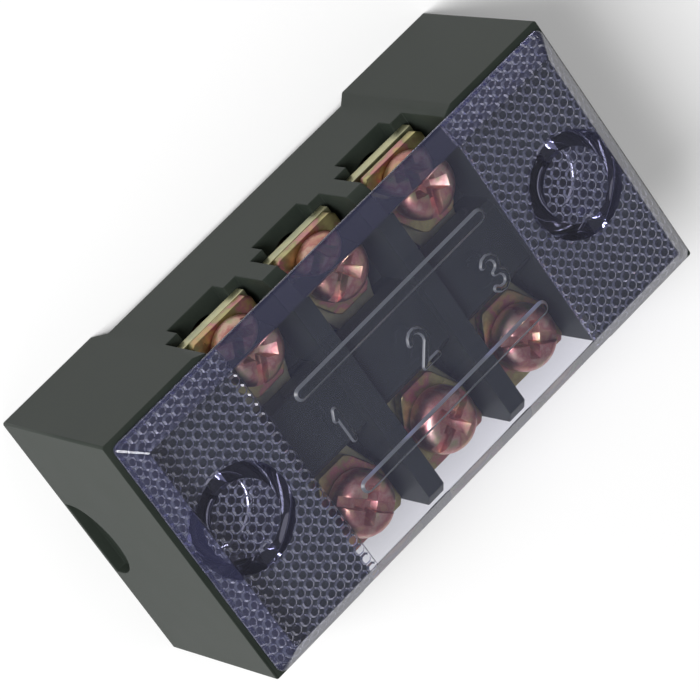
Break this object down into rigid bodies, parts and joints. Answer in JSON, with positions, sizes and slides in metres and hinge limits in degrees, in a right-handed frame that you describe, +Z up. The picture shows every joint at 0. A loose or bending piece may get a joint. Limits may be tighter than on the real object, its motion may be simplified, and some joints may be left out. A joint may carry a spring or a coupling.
{
  "type": "barrier terminal strip",
  "caption": "Covered barrier terminal strip: a moulded block with through straps, clamp screws and washers between barriers, under a clear cover that clips in.",
  "frame": {"origin": "centre of the footprint, on the surface that the feet rest on", "axes": "+X along the row of poles, +Y towards the front row of terminals, +Z up out of the cover"},
  "size_m": [0.045, 0.0222, 0.0169],
  "materials": {
    "base_plastic": "moulded satin, very dark grey",
    "clear_cover": "clear moulded plastic with a faint violet tint",
    "strap_metal": "plated strip, punched edges",
    "washer_zinc": "yellow passivated zinc, iridescent",
    "screw_zinc": "yellow passivated zinc, iridescent"
  },
  "bodies": {
    "block": {"base": "base_plastic", "terminal_strap_1": "strap_metal", "terminal_strap_2": "strap_metal", "terminal_strap_3": "strap_metal"},
    "cover": {"cover": "clear_cover"},
    "washer_1_front": {"clamp_washer_1_front": "washer_zinc"},
    "screw_1_front": {"clamp_screw_1_front": "screw_zinc"},
    "washer_2_front": {"clamp_washer_2_front": "washer_zinc"},
    "screw_2_front": {"clamp_screw_2_front": "screw_zinc"},
    "washer_3_front": {"clamp_washer_3_front": "washer_zinc"},
    "screw_3_front": {"clamp_screw_3_front": "screw_zinc"},
    "washer_1_rear": {"clamp_washer_1_rear": "washer_zinc"},
    "screw_1_rear": {"clamp_screw_1_rear": "screw_zinc"},
    "washer_2_rear": {"clamp_washer_2_rear": "washer_zinc"},
    "screw_2_rear": {"clamp_screw_2_rear": "screw_zinc"},
    "washer_3_rear": {"clamp_washer_3_rear": "washer_zinc"},
    "screw_3_rear": {"clamp_screw_3_rear": "screw_zinc"}
  },
  "joints": [
    {"name": "cover_lift", "type": "slide", "parent": "block", "child": "cover", "axis": [0, 0, 1], "range_m": [0, 0.02]},
    {"name": "washer_1_front_rise", "type": "slide", "parent": "block", "child": "washer_1_front", "axis": [0, 0, 1], "range_m": [0, 0.0015]},
    {"name": "screw_1_front_turn", "type": "hinge", "parent": "washer_1_front", "child": "screw_1_front", "pos_m": [-0.0088, 0.0073, 0.011], "axis": [0, 0, 1], "range_deg": [0, 1081]},
    {"name": "washer_2_front_rise", "type": "slide", "parent": "block", "child": "washer_2_front", "axis": [0, 0, 1], "range_m": [0, 0.0015]},
    {"name": "screw_2_front_turn", "type": "hinge", "parent": "washer_2_front", "child": "screw_2_front", "pos_m": [0, 0.0073, 0.011], "axis": [0, 0, 1], "range_deg": [0, 1081]},
    {"name": "washer_3_front_rise", "type": "slide", "parent": "block", "child": "washer_3_front", "axis": [0, 0, 1], "range_m": [-0.0005, 0.001]},
    {"name": "screw_3_front_turn", "type": "hinge", "parent": "washer_3_front", "child": "screw_3_front", "pos_m": [0.0088, 0.0073, 0.011], "axis": [0, 0, 1], "range_deg": [-361, 721]},
    {"name": "washer_1_rear_rise", "type": "slide", "parent": "block", "child": "washer_1_rear", "axis": [0, 0, 1], "range_m": [0, 0.0015]},
    {"name": "screw_1_rear_turn", "type": "hinge", "parent": "washer_1_rear", "child": "screw_1_rear", "pos_m": [-0.0088, -0.0073, 0.011], "axis": [0, 0, 1], "range_deg": [0, 1081]},
    {"name": "washer_2_rear_rise", "type": "slide", "parent": "block", "child": "washer_2_rear", "axis": [0, 0, 1], "range_m": [0, 0.0015]},
    {"name": "screw_2_rear_turn", "type": "hinge", "parent": "washer_2_rear", "child": "screw_2_rear", "pos_m": [0, -0.0073, 0.011], "axis": [0, 0, 1], "range_deg": [0, 1081]},
    {"name": "washer_3_rear_rise", "type": "slide", "parent": "block", "child": "washer_3_rear", "axis": [0, 0, 1], "range_m": [0, 0.0015]},
    {"name": "screw_3_rear_turn", "type": "hinge", "parent": "washer_3_rear", "child": "screw_3_rear", "pos_m": [0.0088, -0.0073, 0.011], "axis": [0, 0, 1], "range_deg": [0, 1081]}
  ],
  "couplings": [
    {"joint": "screw_1_front_turn", "follows": "washer_1_front_rise", "rad_per_m": 12566},
    {"joint": "screw_2_front_turn", "follows": "washer_2_front_rise", "rad_per_m": 12566},
    {"joint": "screw_3_front_turn", "follows": "washer_3_front_rise", "rad_per_m": 12566},
    {"joint": "screw_1_rear_turn", "follows": "washer_1_rear_rise", "rad_per_m": 12566},
    {"joint": "screw_2_rear_turn", "follows": "washer_2_rear_rise", "rad_per_m": 12566},
    {"joint": "screw_3_rear_turn", "follows": "washer_3_rear_rise", "rad_per_m": 12566}
  ]
}
